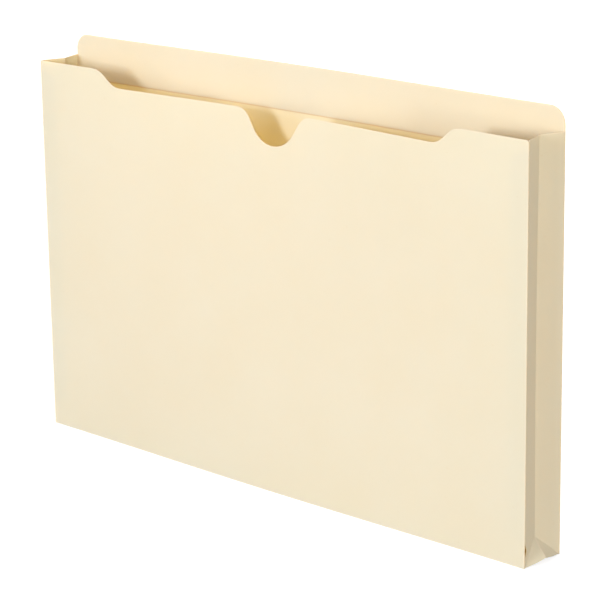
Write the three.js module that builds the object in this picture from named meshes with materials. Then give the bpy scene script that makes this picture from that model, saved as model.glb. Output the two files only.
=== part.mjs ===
// Expansion file jacket in manila card, legal size, standing open.
// Millimetres. +X is to the right seen from the front, +Y to the rear, +Z up.
// The origin lies under the middle of the jacket, on the surface that it stands on.
// Each stretch of card between two score lines is one stiff leaf.

import * as THREE from 'three';

const degrees = (angle) => angle * Math.PI / 180;

// Card
const cardThickness = 0.28;
const scoreGap = 0.3;

// Panels
const jacketWidth = 374.65;
const sideHeight = 228.6;
const tabRise = 12.7;
const tabCornerRadius = 9.5;
const frontCornerRadius = 1.5;

// Reinforcing ply on the front of the tab
const plyHeight = 27;
const plySideMargin = 1.5;

// Top edge of the front panel: shoulders, lowered middle and thumb notch
const frontDip = 9.1;
const dipCurveCentre = 131;
const dipCurveWidth = 23.5;
const notchHalfWidth = 28.5;
const notchDepth = 20;
const notchLipRadius = 10;
const notchBottomRadius = 14;

// Gussets and bottom: each is two leaves that meet at a centre score
const leafWidth = 15;
const restFold = degrees(17.4);

// Corner tucks, folded out of the foot of each gusset
const tuckAngle = degrees(45);
const tuckRestFold = degrees(58.5);
const tuckMeetingGap = 1.2;

// Ends of the bottom leaves, cut back so that a tuck can fold past them
const bottomMitre = degrees(45);

// Glue flaps, which hold the gussets to the inner faces of the panels
const flapWidth = 12;
const flapFoot = 13;
const flapEndTaper = 5;

// Facets on each curve of an outline
const curveFacets = 14;

// Places that follow from the sizes above
const leafLength = Math.sqrt(leafWidth ** 2 - cardThickness ** 2);
const leafTilt = Math.asin(cardThickness / leafWidth);
const leafAngle = restFold + leafTilt;
const hingeX = jacketWidth / 2 - cardThickness;
const hingeY = leafWidth * Math.cos(restFold);
const hingeZ = cardThickness;
const tabTop = sideHeight + tabRise;
const plyFoot = tabTop - plyHeight;
const frontMiddle = sideHeight - frontDip;

const manila = new THREE.Color(0xf3e3c6);
const manilaShade = new THREE.Color(0xe9d6b4);

function sheet(outline) {
  const settings = { depth: cardThickness, bevelEnabled: false, curveSegments: curveFacets };
  return new THREE.ExtrudeGeometry(outline, settings);
}

// The outline's y becomes height, and the card's thickness runs from y = 0 to the front.
function uprightSheet(outline) {
  return sheet(outline).rotateX(Math.PI / 2);
}

function piece(name, geometry, colour = manila) {
  const material = new THREE.MeshStandardMaterial({ color: colour, roughness: 0.85, metalness: 0 });
  const mesh = new THREE.Mesh(geometry, material);
  mesh.name = name;
  return mesh;
}

// Moves each side of a convex outline inward by its own margin.
// Side i runs from corner i to the next one, and corners run anticlockwise.
function insetOutline(corners, margins) {
  const sides = corners.map((start, i) => {
    const end = corners[(i + 1) % corners.length];
    const along = end.clone().sub(start).normalize();
    const inward = new THREE.Vector2(-along.y, along.x);
    return { from: start.clone().addScaledVector(inward, margins[i]), along };
  });
  return sides.map((side, i) => {
    const before = sides[(i + sides.length - 1) % sides.length];
    const gap = side.from.clone().sub(before.from);
    const reach = gap.cross(side.along) / before.along.cross(side.along);
    return before.from.clone().addScaledVector(before.along, reach);
  });
}

// Turns an outline left to right where the factor is negative, and keeps it anticlockwise.
function mirrored(points, factor) {
  const turned = points.map((point) => new THREE.Vector2(point.x * factor, point.y));
  return new THREE.Shape(factor < 0 ? turned.reverse() : turned);
}

function roundedTopOutline(halfWidth, foot, top, radius) {
  const outline = new THREE.Shape();
  outline.moveTo(-halfWidth, foot);
  outline.lineTo(halfWidth, foot);
  outline.lineTo(halfWidth, top - radius);
  outline.absarc(halfWidth - radius, top - radius, radius, 0, Math.PI / 2);
  outline.lineTo(-halfWidth + radius, top);
  outline.absarc(-halfWidth + radius, top - radius, radius, Math.PI / 2, Math.PI);
  outline.closePath();
  return outline;
}

// The notch has a round lip, a straight flank and a round bottom.
// The flank's slope is the one that joins both arcs in the given width and depth.
function addThumbNotch(outline) {
  const radii = notchLipRadius + notchBottomRadius;
  const rise = radii - notchDepth;
  const slope = Math.asin(radii / Math.hypot(notchHalfWidth, rise)) - Math.atan2(rise, notchHalfWidth);
  const lipCentre = frontMiddle - notchLipRadius;
  const bottomCentre = frontMiddle - notchDepth + notchBottomRadius;
  const quarter = Math.PI / 2;
  outline.absarc(notchHalfWidth, lipCentre, notchLipRadius, quarter, quarter + slope);
  outline.absarc(0, bottomCentre, notchBottomRadius, slope - quarter, -quarter - slope, true);
  outline.absarc(-notchHalfWidth, lipCentre, notchLipRadius, quarter - slope, quarter);
}

function frontOutline() {
  const edge = jacketWidth / 2;
  const near = dipCurveCentre - dipCurveWidth / 2;
  const far = dipCurveCentre + dipCurveWidth / 2;
  const corner = frontCornerRadius;
  const outline = new THREE.Shape();
  outline.moveTo(-edge, 0);
  outline.lineTo(edge, 0);
  outline.lineTo(edge, sideHeight - corner);
  outline.absarc(edge - corner, sideHeight - corner, corner, 0, Math.PI / 2);
  outline.lineTo(far, sideHeight);
  outline.bezierCurveTo(dipCurveCentre, sideHeight, dipCurveCentre, frontMiddle, near, frontMiddle);
  addThumbNotch(outline);
  outline.lineTo(-near, frontMiddle);
  outline.bezierCurveTo(-dipCurveCentre, frontMiddle, -dipCurveCentre, sideHeight, -far, sideHeight);
  outline.lineTo(-edge + corner, sideHeight);
  outline.absarc(-edge + corner, sideHeight - corner, corner, Math.PI / 2, Math.PI);
  outline.closePath();
  return outline;
}

function backPanel() {
  const outline = roundedTopOutline(jacketWidth / 2, 0, tabTop, tabCornerRadius);
  const mesh = piece('back_panel', uprightSheet(outline));
  mesh.position.y = hingeY + 2 * cardThickness;
  return mesh;
}

function tabReinforcement() {
  const halfWidth = jacketWidth / 2 - plySideMargin;
  const radius = tabCornerRadius - plySideMargin;
  const outline = roundedTopOutline(halfWidth, plyFoot, tabTop - plySideMargin, radius);
  const mesh = piece('tab_reinforcement', uprightSheet(outline));
  mesh.position.y = hingeY + cardThickness;
  return mesh;
}

function frontPanel() {
  const mesh = piece('front_panel', uprightSheet(frontOutline()));
  mesh.position.y = -hingeY - cardThickness;
  return mesh;
}

// A flap lies flat on the inner face of its panel, with its ends tapered.
function glueFlap(side, face, name) {
  const top = face > 0 ? plyFoot - scoreGap : sideHeight - flapEndTaper;
  const corners = [
    new THREE.Vector2(hingeX, flapFoot),
    new THREE.Vector2(hingeX, top),
    new THREE.Vector2(hingeX - flapWidth, top - flapEndTaper),
    new THREE.Vector2(hingeX - flapWidth, flapFoot + flapEndTaper),
  ];
  const mesh = piece(name, uprightSheet(mirrored(corners, side)), manilaShade);
  mesh.position.y = face > 0 ? hingeY + cardThickness : -hingeY;
  return mesh;
}

// A gusset leaf stands in a frame on its hinge line and leans inward by the leaf angle.
// Its inner face passes through the hinge, its outer face through the centre score.
function gussetLeaf(side, face, leafName, tuckName) {
  const slope = Math.tan(tuckAngle);
  const corners = [
    new THREE.Vector2(0, hingeZ),
    new THREE.Vector2(leafLength, hingeZ + leafLength * slope),
    new THREE.Vector2(leafLength, sideHeight),
    new THREE.Vector2(0, sideHeight),
  ];
  const outline = insetOutline(corners, [scoreGap / 2, scoreGap / 2, 0, scoreGap]);
  const leaf = piece(leafName, uprightSheet(mirrored(outline, -side)), manilaShade);
  leaf.position.y = face > 0 ? 0 : cardThickness;

  const hinge = new THREE.Group();
  hinge.position.set(side * hingeX, face * hingeY, 0);
  hinge.rotation.z = side * face * (Math.PI / 2 - leafAngle);
  hinge.add(leaf, cornerTuck(side, face, tuckName));
  return hinge;
}

// A tuck is the foot of the gusset, folded outward and up along the slanted score.
// Its frame sits on the leaf's outer face, with X along that score.
function cornerTuck(side, face, name) {
  const scoreLength = leafLength / Math.cos(tuckAngle);
  const corners = [
    new THREE.Vector2(0, 0),
    new THREE.Vector2(leafLength * Math.cos(tuckAngle), -leafLength * Math.sin(tuckAngle)),
    new THREE.Vector2(scoreLength, 0),
  ];
  const outline = insetOutline(corners, [scoreGap / 2, tuckMeetingGap, scoreGap / 2]);
  const tuck = piece(name, uprightSheet(mirrored(outline, -side)), manilaShade);
  tuck.position.y = face > 0 ? cardThickness : 0;

  const fold = new THREE.Group();
  fold.rotation.x = -face * tuckRestFold;
  fold.add(tuck);
  const score = new THREE.Group();
  score.position.set(0, -face * cardThickness, hingeZ);
  score.rotation.y = side * tuckAngle;
  score.add(fold);
  return score;
}

// A bottom leaf is hinged on a panel's foot and rises to the centre score.
function bottomLeaf(face, name) {
  const cutBack = leafLength * Math.tan(bottomMitre);
  const corners = [
    new THREE.Vector2(-hingeX, 0),
    new THREE.Vector2(hingeX, 0),
    new THREE.Vector2(hingeX - cutBack, leafLength),
    new THREE.Vector2(-hingeX + cutBack, leafLength),
  ];
  const outline = insetOutline(corners, [scoreGap, scoreGap, scoreGap / 2, scoreGap]);
  const turned = face > 0 ? outline.map((point) => point.negate()) : outline;
  const leaf = piece(name, sheet(new THREE.Shape(turned)), manilaShade);
  leaf.position.z = -cardThickness;

  const hinge = new THREE.Group();
  hinge.position.set(0, face * hingeY, hingeZ);
  hinge.rotation.x = -face * leafAngle;
  hinge.add(leaf);
  return hinge;
}

const jacket = new THREE.Group();
jacket.add(backPanel(), tabReinforcement(), frontPanel());
for (const [face, faceName] of [[1, 'rear'], [-1, 'front']]) {
  jacket.add(bottomLeaf(face, `bottom_${faceName}_leaf`));
  for (const [side, sideName] of [[-1, 'left'], [1, 'right']]) {
    const leafName = `${sideName}_gusset_${faceName}_leaf`;
    const tuckName = `${sideName}_${faceName}_corner_tuck`;
    jacket.add(gussetLeaf(side, face, leafName, tuckName));
    jacket.add(glueFlap(side, face, `${sideName}_${faceName}_glue_flap`));
  }
}

export default jacket;
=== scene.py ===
import math

import bpy
from mathutils import Matrix, Vector


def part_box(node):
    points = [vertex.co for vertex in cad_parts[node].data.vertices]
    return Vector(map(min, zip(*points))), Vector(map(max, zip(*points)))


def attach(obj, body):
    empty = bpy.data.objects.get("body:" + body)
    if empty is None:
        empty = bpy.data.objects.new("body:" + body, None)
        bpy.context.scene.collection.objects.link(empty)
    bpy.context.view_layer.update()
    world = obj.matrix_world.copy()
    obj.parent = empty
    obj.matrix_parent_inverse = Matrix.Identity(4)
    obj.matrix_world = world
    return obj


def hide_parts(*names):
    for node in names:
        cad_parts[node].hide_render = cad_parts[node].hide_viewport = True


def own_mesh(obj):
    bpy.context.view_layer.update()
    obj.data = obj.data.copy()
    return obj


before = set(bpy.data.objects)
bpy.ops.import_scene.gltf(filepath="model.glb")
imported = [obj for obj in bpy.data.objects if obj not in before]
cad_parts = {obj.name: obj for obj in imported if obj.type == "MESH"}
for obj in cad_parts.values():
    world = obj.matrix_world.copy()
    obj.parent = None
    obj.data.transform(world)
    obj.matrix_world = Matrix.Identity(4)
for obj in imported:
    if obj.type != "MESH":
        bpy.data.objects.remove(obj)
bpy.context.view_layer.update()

MM = 0.001

# Places taken from the frame
front_low, front_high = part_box("front_panel")
back_low, back_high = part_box("back_panel")
ply_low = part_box("tab_reinforcement")[0]
HALF_WIDTH = front_high.x
CARD = front_high.y - front_low.y
SIDE_TOP = front_high.z
TAB_TOP = back_high.z
HINGE_X = HALF_WIDTH - CARD
HINGE_Y = ply_low.y
CREASE_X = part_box("right_gusset_rear_leaf")[0].x
FLAP_INNER_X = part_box("right_front_glue_flap")[0].x
BOTTOM_CREASE_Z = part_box("bottom_rear_leaf")[1].z

# Outline of the front panel's top edge and of the tab
FRONT_DIP = 10 * MM
DIP_CENTRE = 131 * MM
DIP_WIDTH = 23.5 * MM
NOTCH_HALF_WIDTH = 28.5 * MM
NOTCH_DEPTH = 19.2 * MM
NOTCH_LIP_RADIUS = 11 * MM
NOTCH_BOTTOM_RADIUS = 18.5 * MM
FRONT_CORNER_RADIUS = 1.5 * MM
TAB_CORNER_RADIUS = 9.5 * MM

# The ply's cut edge nearly meets the tab's
PLY_MARGIN = 0.35 * MM

# The glue flaps' ends slant by this much over their width
FLAP_TAPER = 5 * MM

# How the card bends: the front's free edge sinks in, its foot swells, the tab leans back.
# Each power says how soon the bend dies away from that edge.
FRONT_TOP_SAG = 9 * MM
FRONT_TOP_POWER = 1.6
FRONT_FOOT_SWELL = 2 * MM
FRONT_FOOT_POWER = 1.5
TAB_LEAN = 4 * MM
TAB_LEAN_POWER = 2.2
LEAF_BULGE = 0.25 * MM
CREASE_DEEPENING = 0.7 * MM

# Width of a gusset or bottom leaf. The columns of a gusset's or tuck's sheet count
# from 0 at the panel to this at the crease.
LEAF_SPAN = 15 * MM

# The corner where a gusset meets the bottom. The score of a front tuck bows more than
# that of a rear one, and a tuck starts a little way off its pointed corner.
FOOT = 0.3 * MM
TUCK_APEX_Z = 12.5 * MM
TUCK_TIP_OUT = 3 * MM
TUCK_TIP_Z = 2.9 * MM
FRONT_TUCK_BOW = 2.56 * MM
REAR_TUCK_BOW = 0.48 * MM
TUCK_BASE_OUT = 0.3 * MM
TUCK_BASE_SAG = 0.2 * MM
CORNER_START = 0.02

# The slit below the end of a front glue flap
SLIT_WIDTH = 1.5 * MM
SLIT_MIDDLE = 9.5 * MM
SLIT_SPREAD = 2.6 * MM
SLIT_TAIL = 0.2 * MM

# Glued faces keep this much apart, so that they don't flicker through each other
GLUE_LINE = 0.03 * MM

# Distances of the rings of points beside an edge, which carry its painted highlight or
# painted shade line
EDGE_RINGS = (0.3 * MM, 0.9 * MM)

# Which of a sheet's first column, last column, first row and last row get a painted
# highlight
ALL_HIGHLIGHTED = (True, True, True, True)
NONE_HIGHLIGHTED = (False, False, False, False)
TOP_HIGHLIGHTED = (False, False, False, True)
ALL_BUT_FOOT_HIGHLIGHTED = (True, True, False, True)
LAST_COLUMN_HIGHLIGHTED = (False, True, False, False)

# A score line's two leaves stop this short of each other
CREASE_GAP = 0.1 * MM

# Edges that turn by more degrees than this stay sharp
SHARP_ANGLE = 35

# Steps across the front panel: thumb notch, lowered edge, dip, shoulder and corner
NOTCH_STEPS = 40
EDGE_STEPS = 14
DIP_STEPS = 20
SHOULDER_STEPS = 8
FRONT_CORNER_STEPS = 5

# Steps across half of the tab
TAB_STEPS = 46
TAB_CORNER_STEPS = 12

# Steps along and across the other sheets
PANEL_ROWS = 44
PLY_ROWS = 14
FLAP_ROWS = 30
FLAP_COLUMNS = 10
GUSSET_ROWS = 60
GUSSET_COLUMNS = 14
TUCK_ROWS = 10
BOTTOM_ROWS = 8
BOTTOM_COLUMNS = 90
BOTTOM_CORNER_COLUMNS = 10


def colour(red, green, blue):
    """A linear colour from an 8-bit sRGB one."""
    def linear(value):
        share = value / 255
        return share / 12.92 if share <= 0.04045 else ((share + 0.055) / 1.055) ** 2.4
    return (linear(red), linear(green), linear(blue), 1.0)


# Materials

def link(tree, source, target):
    tree.links.new(source, target)


def add_node(tree, kind, **values):
    made = tree.nodes.new(kind)
    for key, value in values.items():
        if key in made.inputs:
            made.inputs[key].default_value = value
        else:
            setattr(made, key, value)
    return made


# The sockets of a Mix node that it uses for colours
MIX_FACTOR, MIX_FIRST, MIX_SECOND = 0, 6, 7
MIX_RESULT = 2


def mix_colour(tree, factor, first, second):
    made = add_node(tree, "ShaderNodeMix", data_type="RGBA")
    for index, value in ((MIX_FACTOR, factor), (MIX_FIRST, first), (MIX_SECOND, second)):
        socket = made.inputs[index]
        if isinstance(value, bpy.types.NodeSocket):
            link(tree, value, socket)
        else:
            socket.default_value = value
    return made.outputs[MIX_RESULT]


def map_range(tree, value, low, high, to_low, to_high):
    made = add_node(tree, "ShaderNodeMapRange")
    link(tree, value, made.inputs["Value"])
    ranges = {"From Min": low, "From Max": high, "To Min": to_low, "To Max": to_high}
    for key, number in ranges.items():
        made.inputs[key].default_value = number
    return made.outputs["Result"]


def noise(tree, place, scale, detail, roughness):
    made = add_node(
        tree, "ShaderNodeTexNoise", Scale=scale, Detail=detail, Roughness=roughness
    )
    link(tree, place, made.inputs["Vector"])
    return made.outputs["Fac"]


def point_value(tree, name):
    return add_node(tree, "ShaderNodeAttribute", attribute_name=name).outputs["Fac"]


BASE = colour(243, 246, 231)
DEEP = colour(242, 242, 222)
SPECK = colour(206, 178, 132)
# Pale tint along edges and a tuck's fold: a painted highlight, as where an edge catches the
# light
EDGE_HIGHLIGHT = colour(255, 252, 238)
# Dark orange line along the ply's foot: painted shade, standing for the shade under the
# ply's edge
FOOT_SHADE = colour(210, 168, 104)

# Light that shines through the card comes out warm
GLOW_THROUGH = (1.0, 0.74, 0.26, 1.0)
THROUGH_SHARE = 0.35

# Uncoated card hardly shines
SPECULAR_LEVEL = 0.28

# Noise scales per metre, and the height and strength of the card's tooth
CLOUD_SCALE = 22.0
FIBRE_SCALE = 900.0
SPECK_SCALE = 420.0
TOOTH = 0.06 * MM
TOOTH_STRENGTH = 0.12


def manila_material():
    """Uncoated card: cloudy fibre colour, a few specks, fine tooth, a painted highlight
    along edges as if they caught the light, and a painted shade line along the ply's glued
    foot."""
    material = bpy.data.materials.new("manila card")
    material.use_nodes = True
    tree = material.node_tree
    tree.nodes.clear()
    output = add_node(tree, "ShaderNodeOutputMaterial")
    shader = add_node(tree, "ShaderNodeBsdfPrincipled")
    shader.inputs["Specular IOR Level"].default_value = SPECULAR_LEVEL
    through = add_node(tree, "ShaderNodeBsdfTranslucent", Color=GLOW_THROUGH)
    mixed = add_node(tree, "ShaderNodeMixShader", Fac=THROUGH_SHARE)
    link(tree, shader.outputs["BSDF"], mixed.inputs[1])
    link(tree, through.outputs["BSDF"], mixed.inputs[2])
    link(tree, mixed.outputs[0], output.inputs["Surface"])

    place = add_node(tree, "ShaderNodeTexCoord").outputs["Object"]
    clouds = noise(tree, place, CLOUD_SCALE, detail=4.0, roughness=0.55)
    fibres = noise(tree, place, FIBRE_SCALE, detail=3.0, roughness=0.6)
    specks = noise(tree, place, SPECK_SCALE, detail=1.0, roughness=0.4)

    cloud_share = map_range(tree, clouds, 0.35, 0.7, 0.0, 0.55)
    tone = mix_colour(tree, cloud_share, BASE, DEEP)
    fibre_share = map_range(tree, fibres, 0.3, 0.7, 0.0, 0.12)
    tone = mix_colour(tree, fibre_share, tone, DEEP)
    speck_share = map_range(tree, specks, 0.74, 0.82, 0.0, 0.08)
    tone = mix_colour(tree, speck_share, tone, SPECK)
    # Painted highlight along edges, fading out over the rings
    highlight_share = map_range(tree, point_value(tree, "edge_highlight"), 0.0, 1.0, 0.0, 0.8)
    tone = mix_colour(tree, highlight_share, tone, EDGE_HIGHLIGHT)
    # Painted shade line along the ply's foot
    foot_shade_share = map_range(tree, point_value(tree, "painted_foot_shade"), 0.0, 1.0, 0.0, 0.6)
    tone = mix_colour(tree, foot_shade_share, tone, FOOT_SHADE)
    link(tree, tone, shader.inputs["Base Color"])

    rough = map_range(tree, fibres, 0.3, 0.7, 0.66, 0.8)
    link(tree, rough, shader.inputs["Roughness"])
    bump = add_node(tree, "ShaderNodeBump", Strength=TOOTH_STRENGTH, Distance=TOOTH)
    link(tree, fibres, bump.inputs["Height"])
    link(tree, bump.outputs["Normal"], shader.inputs["Normal"])
    return material


manila = manila_material()


# Sheets of card

def spread(start, end, count):
    return [start + (end - start) * i / count for i in range(count + 1)]


def with_rings(places):
    """Adds places close beside both ends, so that a painted highlight can follow an edge.
    """
    first, last = places[0], places[-1]
    near, far = EDGE_RINGS
    clear = 1.5 * far
    inner = [p for p in places[1:-1] if first + clear < p < last - clear]
    return [first, first + near, first + far, *inner, last - far, last - near, last]


def edge_value(distance):
    """1 at an edge, and 0 from the outer ring on."""
    return max(0.0, 1.0 - distance / EDGE_RINGS[1])


def sheet(name, columns, rows_at, place, body, nodes, highlight_sides=ALL_HIGHLIGHTED, shaded_foot=False):
    """A bent sheet of card with its thickness, and a painted highlight along its chosen
    edges.
    columns run across, and rows_at(column) gives the heights there. place(column, row)
    gives the point on its outer face and the direction from there to its inner face.
    A shaded foot gets a dark line of painted shade, standing for the shade under the ply's
    edge."""
    points, values, foot_shade_values = [], [], []
    row_count = len(rows_at(columns[0]))
    for layer in (0, 1):
        for column in columns:
            rows = rows_at(column)
            for row in rows:
                point, inward = place(column, row)
                points.append(point + inward * (CARD * layer))
                distances = [column - columns[0], columns[-1] - column]
                distances += [row - rows[0], rows[-1] - row]
                # Nearness to an edge that gets the painted highlight
                highlight_distances = [d for d, is_highlighted in zip(distances, highlight_sides) if is_highlighted]
                values.append(edge_value(min(highlight_distances)) if highlight_distances else 0.0)
                # Nearness to the foot, for its painted shade line
                foot_shade_values.append(edge_value(row - rows[0]) if shaded_foot else 0.0)
    count = len(columns)

    def at(layer, i, j):
        return layer * count * row_count + i * row_count + j

    faces = []
    for i in range(count - 1):
        for j in range(row_count - 1):
            first, right, above, far = (i, j), (i + 1, j), (i, j + 1), (i + 1, j + 1)
            faces.append([at(0, *corner) for corner in (first, right, far, above)])
            faces.append([at(1, *corner) for corner in (first, above, far, right)])
    ring = [(i, 0) for i in range(count - 1)]
    ring += [(count - 1, j) for j in range(row_count - 1)]
    ring += [(i, row_count - 1) for i in range(count - 1, 0, -1)]
    ring += [(0, j) for j in range(row_count - 1, 0, -1)]
    for k, here in enumerate(ring):
        there = ring[(k + 1) % len(ring)]
        faces.append((at(0, *there), at(0, *here), at(1, *here), at(1, *there)))
    return finish_piece(name, points, faces, values, foot_shade_values, body, nodes)


def finish_piece(name, points, faces, values, foot_shade_values, body, nodes):
    mesh = bpy.data.meshes.new(name)
    mesh.from_pydata([tuple(p) for p in points], [], faces)
    mesh.update()
    for attribute, numbers in (("edge_highlight", values), ("painted_foot_shade", foot_shade_values)):
        mesh.attributes.new(attribute, "FLOAT", "POINT").data.foreach_set("value", numbers)
    if signed_volume(mesh) < 0:
        mesh.flip_normals()
    mesh.shade_smooth()
    mesh.set_sharp_from_angle(angle=math.radians(SHARP_ANGLE))
    mesh.materials.append(manila)
    piece = bpy.data.objects.new(name, mesh)
    bpy.context.collection.objects.link(piece)
    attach(piece, body)
    if nodes:
        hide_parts(*nodes)
    return piece


def signed_volume(mesh):
    """Six times the volume, and negative where the faces look inward."""
    total = 0.0
    for face in mesh.polygons:
        first = mesh.vertices[face.vertices[0]].co
        for a, b in zip(face.vertices[1:-1], face.vertices[2:]):
            total += first.dot(mesh.vertices[a].co.cross(mesh.vertices[b].co))
    return total


# Outlines

def notch_slope():
    """Angle of the straight flank that joins the lip's arc to the bottom's."""
    radii = NOTCH_LIP_RADIUS + NOTCH_BOTTOM_RADIUS
    rise = radii - NOTCH_DEPTH
    reach = math.hypot(NOTCH_HALF_WIDTH, rise)
    return math.asin(radii / reach) - math.atan2(rise, NOTCH_HALF_WIDTH)


def front_top(x):
    """Height of the front panel's top edge: shoulder, curve, lowered edge, thumb notch."""
    x = abs(x)
    if x > HALF_WIDTH - FRONT_CORNER_RADIUS:
        return rounded_top(x, HALF_WIDTH, SIDE_TOP, FRONT_CORNER_RADIUS)
    low = SIDE_TOP - FRONT_DIP
    share = (x - DIP_CENTRE) / DIP_WIDTH + 0.5
    if share >= 1:
        return SIDE_TOP
    if share > 0:
        return low + FRONT_DIP * bezier_rise(share)
    return low - notch_drop(x)


def bezier_rise(share):
    """Height of a curve from 0 to 1, at a place across it. Both handles stand mid-way.
    The curve's own parameter t at that place is found by halving."""
    low, high = 0.0, 1.0
    for _ in range(30):
        t = (low + high) / 2
        across = 1.5 * t * (1 - t) ** 2 + 1.5 * t ** 2 * (1 - t) + t ** 3
        if across < share:
            low = t
        else:
            high = t
    return 3 * t ** 2 * (1 - t) + t ** 3


def notch_drop(x):
    """Depth of the thumb notch below the lowered edge: lip, straight flank, bottom."""
    slope = notch_slope()
    lip, bottom = NOTCH_LIP_RADIUS, NOTCH_BOTTOM_RADIUS
    if x >= NOTCH_HALF_WIDTH:
        return 0.0
    if x >= NOTCH_HALF_WIDTH - lip * math.sin(slope):
        return lip - math.sqrt(lip ** 2 - (NOTCH_HALF_WIDTH - x) ** 2)
    if x <= bottom * math.sin(slope):
        return NOTCH_DEPTH - bottom + math.sqrt(bottom ** 2 - x ** 2)
    start_x = bottom * math.sin(slope)
    start_drop = NOTCH_DEPTH - bottom + bottom * math.cos(slope)
    return start_drop - (x - start_x) * math.tan(slope)


def rounded_top(x, half_width, top, radius):
    """Height of a straight top edge with round corners."""
    reach = max(0.0, abs(x) - (half_width - radius))
    return top - radius + math.sqrt(max(0.0, radius ** 2 - reach ** 2))


def corner_columns(half_width, radius, steps):
    """Places across a round corner, even along its arc."""
    start = half_width - radius
    return [start + radius * math.sin(math.pi / 2 * i / steps) for i in range(1, steps + 1)]


def both_sides(right_half):
    """Places across the whole width, from those right of the middle."""
    right_half = sorted(set(right_half))
    return [-x for x in reversed(right_half) if x > 0] + right_half


# How each panel bends

def across_bend(x):
    """A panel bends fully at its middle and not at all at its sides."""
    return 0.5 + 0.5 * math.cos(math.pi * min(1.0, abs(x) / HALF_WIDTH))


def front_bend(x, z):
    """How far the front panel lies behind its flat place."""
    share = min(1.0, z / (SIDE_TOP - FRONT_DIP))
    sag = FRONT_TOP_SAG * share ** FRONT_TOP_POWER
    swell = FRONT_FOOT_SWELL * (1 - share) ** FRONT_FOOT_POWER
    return across_bend(x) * (sag - swell)


def back_bend(x, z):
    return across_bend(x) * TAB_LEAN * (z / TAB_TOP) ** TAB_LEAN_POWER


def even_rows(low, high, count=PANEL_ROWS):
    """Heights from one edge to the other, with the rings, and as many in each column."""
    near, far = EDGE_RINGS
    inner = spread(low + 2 * far, high - 2 * far, count)
    return [low, low + near, low + far, *inner, high - far, high - near, high]


def front_columns():
    past_notch = NOTCH_HALF_WIDTH * 1.1
    near, far = DIP_CENTRE - DIP_WIDTH / 2, DIP_CENTRE + DIP_WIDTH / 2
    right = spread(0.0, past_notch, NOTCH_STEPS)
    right += spread(past_notch, near, EDGE_STEPS)
    right += spread(near, far, DIP_STEPS)
    right += spread(far, HALF_WIDTH - FRONT_CORNER_RADIUS, SHOULDER_STEPS)
    right += corner_columns(HALF_WIDTH, FRONT_CORNER_RADIUS, FRONT_CORNER_STEPS)
    return both_sides(round(x, 8) for x in right)


def add_front_panel():
    def place(x, z):
        return Vector((x, front_low.y + front_bend(x, z), z)), Vector((0, 1, 0))

    def rows(x):
        return even_rows(0.0, front_top(x))

    return sheet("front_sheet", front_columns(), rows, place, "front", ["front_panel"])


def tab_columns(half_width, radius):
    right = spread(0.0, half_width - radius, TAB_STEPS)
    right += corner_columns(half_width, radius, TAB_CORNER_STEPS)
    return both_sides(round(x, 8) for x in right)


def add_back_panel():
    def place(x, z):
        return Vector((x, back_high.y + back_bend(x, z), z)), Vector((0, -1, 0))

    def rows(x):
        return even_rows(0.0, rounded_top(x, HALF_WIDTH, TAB_TOP, TAB_CORNER_RADIUS))

    columns = tab_columns(HALF_WIDTH, TAB_CORNER_RADIUS)
    return sheet("back_sheet", columns, rows, place, "back", ["back_panel"])


def add_ply():
    half_width = HALF_WIDTH - PLY_MARGIN
    radius = TAB_CORNER_RADIUS - PLY_MARGIN
    top = TAB_TOP - PLY_MARGIN

    def place(x, z):
        return Vector((x, ply_low.y - GLUE_LINE + back_bend(x, z), z)), Vector((0, 1, 0))

    def rows(x):
        return even_rows(ply_low.z, rounded_top(x, half_width, top, radius), PLY_ROWS)

    columns = tab_columns(half_width, radius)
    # The ply's foot gets a painted shade line rather than a highlight
    return sheet(
        "tab_ply", columns, rows, place, "back", ["tab_reinforcement"],
        ALL_BUT_FOOT_HIGHLIGHTED, shaded_foot=True,
    )


def add_flap(side_name, side, face_name, bend):
    node = f"{side_name}_{face_name}_glue_flap"
    low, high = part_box(node)
    if face_name == "rear":
        body, inner_y, toward_panel = "back", low.y - GLUE_LINE, 1
    else:
        body, inner_y, toward_panel = "front", high.y + GLUE_LINE, -1

    def place(x, z):
        return Vector((x, inner_y + bend(x, z), z)), Vector((0, toward_panel, 0))

    def rows(x):
        taper = FLAP_TAPER * abs(HINGE_X - abs(x)) / (HINGE_X - FLAP_INNER_X)
        return even_rows(low.z + taper, high.z - taper, FLAP_ROWS)

    columns = with_rings(spread(low.x, high.x, FLAP_COLUMNS))
    return sheet(f"{side_name}_{face_name}_flap", columns, rows, place, body, [node])


# Gussets

def slit(z):
    """How far the gusset's edge stands off its panel, below the end of the glue flap."""
    if z >= SLIT_MIDDLE + 2 * SLIT_SPREAD:
        return 0.0
    wide = SLIT_WIDTH * math.exp(-((z - SLIT_MIDDLE) / SLIT_SPREAD) ** 2)
    tail = SLIT_TAIL * min(1.0, max(0.0, z / SLIT_SPREAD)) if z < SLIT_MIDDLE else 0.0
    return max(wide, tail)


def hinge_point(side, face, z):
    """The outer end of a gusset leaf. Only the front leaves stand off at a slit."""
    gap = slit(z) if face < 0 else 0.0
    return Vector((side * (HINGE_X + CARD), face * (HINGE_Y - gap), z))


def crease_point(side, z):
    """The centre score lies deepest at half height."""
    depth = CREASE_DEEPENING * math.sin(math.pi * min(1.0, max(0.0, z / SIDE_TOP)))
    return Vector((side * (CREASE_X - depth), 0.0, z))


def tuck_score_z(face, across):
    """Height of the slanted score at a share of the leaf's width, hinge to crease."""
    bow = FRONT_TUCK_BOW if face < 0 else REAR_TUCK_BOW
    return FOOT + (TUCK_APEX_Z - FOOT) * across + bow * math.sin(math.pi * across)


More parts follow.
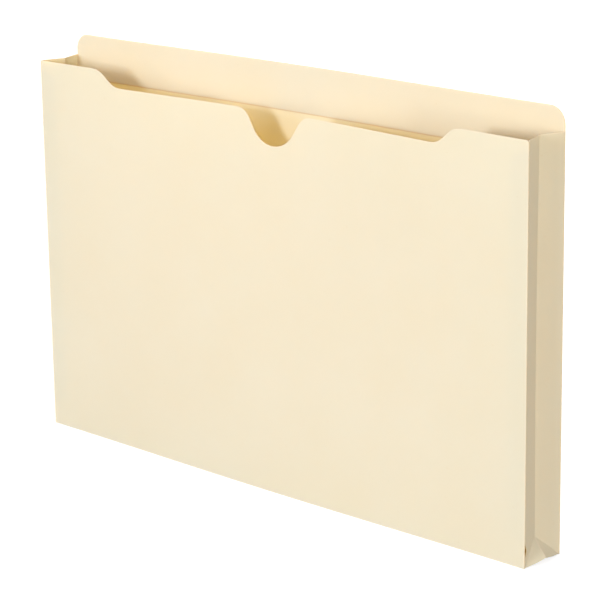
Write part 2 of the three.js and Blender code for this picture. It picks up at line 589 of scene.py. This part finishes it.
def leaf_place(side, face, across, z):
    """A point of a gusset leaf's outer face, and the direction to its inner face. The
    leaf bulges a little, and most between its middle and the crease."""
    start = hinge_point(side, face, z)
    along = crease_point(side, z) - start
    outward = Vector((along.y, -along.x, 0)).normalized()
    if outward.x * side < 0:
        outward = -outward
    bulge = LEAF_BULGE * math.sin(math.pi * across) * (0.4 + 0.6 * across)
    return start + along * across + outward * bulge, -outward


def add_gusset_leaf(side_name, side, face_name, face):
    def place(across, z):
        return leaf_place(side, face, across / LEAF_SPAN, z)

    def rows(across):
        return even_rows(tuck_score_z(face, across / LEAF_SPAN), SIDE_TOP, GUSSET_ROWS)

    columns = spread(0.0, LEAF_SPAN, GUSSET_COLUMNS)
    node = f"{side_name}_gusset_{face_name}_leaf"
    body = f"{side_name}_{face_name}_leaf"
    name = f"{side_name}_{face_name}_gusset_sheet"
    sheet(name, columns, rows, place, body, [node], TOP_HIGHLIGHTED)


def add_tuck(side_name, side, face_name, face):
    """The folded foot of a gusset: a triangle from the panel's corner to apex and tip."""
    tip = Vector((side * (HINGE_X + TUCK_TIP_OUT), 0.0, TUCK_TIP_Z))
    corner = Vector((side * HINGE_X, face * HINGE_Y, FOOT))

    def score_place(across):
        return leaf_place(side, face, across, tuck_score_z(face, across))[0]

    def base_place(across):
        sag = Vector((side * TUCK_BASE_OUT, 0, -TUCK_BASE_SAG)) * math.sin(math.pi * across)
        return corner.lerp(tip, across) + sag

    def point(across, down):
        return score_place(across).lerp(base_place(across), down)

    def place(column, row):
        across = CORNER_START + (1 - CORNER_START) * column / LEAF_SPAN
        down = row / LEAF_SPAN
        step = 0.01
        one = point(across, down + step) - point(across, down - step)
        two = point(across + step, down) - point(across - step, down)
        normal = one.cross(two).normalized()
        if normal.x * side < 0:
            normal = -normal
        return point(across, down), -normal

    def rows(across):
        return spread(0.0, LEAF_SPAN, TUCK_ROWS)

    columns = spread(0.0, LEAF_SPAN, GUSSET_COLUMNS)
    node = f"{side_name}_{face_name}_corner_tuck"
    body = f"{side_name}_{face_name}_tuck"
    name = f"{side_name}_{face_name}_tuck_sheet"
    # The tuck's last column, its fold from apex to tip, gets a painted highlight
    sheet(name, columns, rows, place, body, [node], LAST_COLUMN_HIGHLIGHTED)


def bottom_point(face, x, share):
    """A place on a bottom leaf, at a share of the way from its panel's foot to the centre
    score. The score dips at its ends."""
    bend = front_bend if face < 0 else back_bend
    near_end = max(0.0, 1 - (HINGE_X - abs(x)) / LEAF_SPAN)
    top = BOTTOM_CREASE_Z + (TUCK_TIP_Z - BOTTOM_CREASE_Z) * near_end ** 2
    start = Vector((x, face * (HINGE_Y - CREASE_GAP) + bend(x, 0.0), CARD))
    return start.lerp(Vector((x, face * CREASE_GAP, top)), share)


def bottom_inward(face):
    """The direction from a bottom leaf's lower face to its upper one."""
    return Vector((0, BOTTOM_CREASE_Z * face, HINGE_Y)).normalized()


def add_bottom_leaf(face_name, face):
    """The stiff part of a bottom leaf, which ends at slanted scores."""
    def place(across, share):
        half = HINGE_X - CREASE_GAP - LEAF_SPAN * share
        return bottom_point(face, across * half, share), bottom_inward(face)

    def rows(across):
        return spread(0.0, 1.0, BOTTOM_ROWS)

    columns = spread(-1.0, 1.0, BOTTOM_COLUMNS)
    body, node = f"bottom_{face_name}", f"bottom_{face_name}_leaf"
    return sheet(f"bottom_{face_name}_sheet", columns, rows, place, body, [node], NONE_HIGHLIGHTED)


def add_bottom_corner(side_name, side, face_name, face):
    """The soft end of a bottom leaf. It runs out to the tip of the tucks."""
    foot = bottom_point(face, side * (HINGE_X - CREASE_GAP), 0.0)
    apex = bottom_point(face, side * (HINGE_X - CREASE_GAP - LEAF_SPAN), 1.0)
    tip_x = side * (HINGE_X + TUCK_TIP_OUT - CREASE_GAP)
    tip = Vector((tip_x, face * CREASE_GAP, TUCK_TIP_Z))

    def place(along, out):
        score = foot.lerp(apex, along)
        return score.lerp(foot.lerp(tip, along), out), bottom_inward(face)

    def rows(along):
        return spread(CORNER_START, 1.0, BOTTOM_ROWS)

    columns = spread(CORNER_START, 1.0, BOTTOM_CORNER_COLUMNS)
    name = f"bottom_{side_name}_{face_name}_corner"
    corner = sheet(name, columns, rows, place, f"bottom_{face_name}", [], NONE_HIGHLIGHTED)
    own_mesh(corner)


def flatten_when_folded(piece):
    """Gives a sheet a mesh of its own."""
    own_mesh(piece)


for panel in (add_back_panel(), add_ply()):
    flatten_when_folded(panel)
flatten_when_folded(add_front_panel())
for side_label, side_sign in (("left", -1), ("right", 1)):
    for face_label, face_sign, panel_bend, anchor in (
        ("rear", 1, back_bend, back_low.y),
        ("front", -1, front_bend, front_high.y),
    ):
        flatten_when_folded(add_flap(side_label, side_sign, face_label, panel_bend))
        add_gusset_leaf(side_label, side_sign, face_label, face_sign)
        add_tuck(side_label, side_sign, face_label, face_sign)
        add_bottom_corner(side_label, side_sign, face_label, face_sign)
add_bottom_leaf("rear", 1)
front_bottom = add_bottom_leaf("front", -1)
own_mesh(front_bottom)


# Floor, backdrop and lights

WHITE = (1.0, 1.0, 1.0, 1.0)
ROOM_LIGHT = 0.36

# The floor lies just under the jacket's feet, so that the two don't flicker
FLOOR_GREY = 0.34
FLOOR_GLOW = 0.85
FLOOR_REACH = 6.0
FLOOR_HEIGHT = -0.05 * MM

# Tints of the lamps
NEUTRAL = (1.0, 1.0, 1.0)
WARM = (1.0, 0.92, 0.78)


def seen_directly(tree):
    """1 for rays that the camera or a glossy surface sends out, and 0 for the others."""
    path = add_node(tree, "ShaderNodeLightPath")
    either = add_node(tree, "ShaderNodeMath", operation="MAXIMUM")
    link(tree, path.outputs["Is Camera Ray"], either.inputs[0])
    link(tree, path.outputs["Is Glossy Ray"], either.inputs[1])
    return either.outputs[0]


def white_stage_material():
    """Matt grey to the light that bounces off it. Its own glow lifts it to white for the
    camera, except where the object keeps the room's light off it."""
    material = bpy.data.materials.new("stage white")
    material.use_nodes = True
    tree = material.node_tree
    tree.nodes.clear()
    output = add_node(tree, "ShaderNodeOutputMaterial")
    diffuse = add_node(tree, "ShaderNodeBsdfDiffuse", Color=(FLOOR_GREY,) * 3 + (1.0,))
    glow = add_node(tree, "ShaderNodeEmission", Color=WHITE, Strength=FLOOR_GLOW)
    lifted = add_node(tree, "ShaderNodeAddShader")
    chosen = add_node(tree, "ShaderNodeMixShader")
    link(tree, diffuse.outputs[0], lifted.inputs[0])
    link(tree, glow.outputs[0], lifted.inputs[1])
    link(tree, seen_directly(tree), chosen.inputs[0])
    link(tree, diffuse.outputs[0], chosen.inputs[1])
    link(tree, lifted.outputs[0], chosen.inputs[2])
    link(tree, chosen.outputs[0], output.inputs["Surface"])
    return material


def add_floor():
    mesh = bpy.data.meshes.new("floor")
    corners = [(-1, -1), (1, -1), (1, 1), (-1, 1)]
    points = [(x * FLOOR_REACH, y * FLOOR_REACH, FLOOR_HEIGHT) for x, y in corners]
    mesh.from_pydata(points, [], [(0, 1, 2, 3)])
    mesh.materials.append(white_stage_material())
    floor = bpy.data.objects.new("floor", mesh)
    bpy.context.collection.objects.link(floor)


def set_world(strength):
    """An even room light, and a white backdrop for the camera."""
    world = bpy.data.worlds.new("studio")
    bpy.context.scene.world = world
    world.use_nodes = True
    tree = world.node_tree
    tree.nodes.clear()
    output = add_node(tree, "ShaderNodeOutputWorld")
    room = add_node(tree, "ShaderNodeBackground", Color=WHITE, Strength=strength)
    seen = add_node(tree, "ShaderNodeBackground", Color=WHITE, Strength=1.0)
    mixed = add_node(tree, "ShaderNodeMixShader")
    link(tree, seen_directly(tree), mixed.inputs[0])
    link(tree, room.outputs[0], mixed.inputs[1])
    link(tree, seen.outputs[0], mixed.inputs[2])
    link(tree, mixed.outputs[0], output.inputs["Surface"])


def add_lamp(name, azimuth, elevation, distance, size, power, tint):
    """A square soft lamp. Azimuth 0 stands in front, and a negative one to the left."""
    turn, lift = math.radians(azimuth), math.radians(elevation)
    level = Vector((math.sin(turn), -math.cos(turn), 0))
    away = level * math.cos(lift) + Vector((0, 0, math.sin(lift)))
    target = Vector((0, 0, SIDE_TOP / 2))
    lamp = bpy.data.lights.new(name, "AREA")
    lamp.size = size
    lamp.energy = power
    lamp.color = tint
    holder = bpy.data.objects.new(name, lamp)
    holder.location = target + away * distance
    holder.rotation_euler = away.to_track_quat("Z", "Y").to_euler()
    bpy.context.collection.objects.link(holder)


add_floor()
set_world(ROOM_LIGHT)

# Name, azimuth, elevation, distance and size in metres, power in watts, tint. The rear
# lamp shines through the card, which warms the shade that is seen in the notch.
for lamp_settings in (
    ("key lamp", 2, 13, 2.4, 0.5, 28.5, NEUTRAL),
    ("left fill", -40, 10, 2.8, 1.3, 17, NEUTRAL),
    ("side fill", 64, 4, 2.8, 0.6, 39, WARM),
    ("top lamp", 0, 65, 2.8, 1.2, 8, NEUTRAL),
    ("rear lamp", -155, 12, 2.8, 0.8, 96, NEUTRAL),
):
    add_lamp(*lamp_settings)


# Camera, at the photograph's viewing angle

CAMERA_PLACE = Vector((0.943, -0.9609, 0.476))
CAMERA_YAW = 44.08
CAMERA_PITCH = -15.23
CAMERA_ROLL = -0.84
CAMERA_LENS = 147.7
SENSOR_WIDTH = 36


def add_camera():
    camera = bpy.data.cameras.new("camera")
    camera.lens = CAMERA_LENS
    camera.sensor_width = SENSOR_WIDTH
    camera.clip_start = 0.05
    camera.clip_end = 50
    holder = bpy.data.objects.new("camera", camera)
    upright = Matrix.Rotation(math.radians(90 + CAMERA_PITCH), 4, "X")
    turn = Matrix.Rotation(math.radians(CAMERA_YAW), 4, "Z")
    roll = Matrix.Rotation(math.radians(CAMERA_ROLL), 4, "Z")
    holder.matrix_world = Matrix.Translation(CAMERA_PLACE) @ turn @ upright @ roll
    bpy.context.collection.objects.link(holder)
    bpy.context.scene.camera = holder


add_camera()
bpy.context.scene.view_settings.view_transform = "Standard"
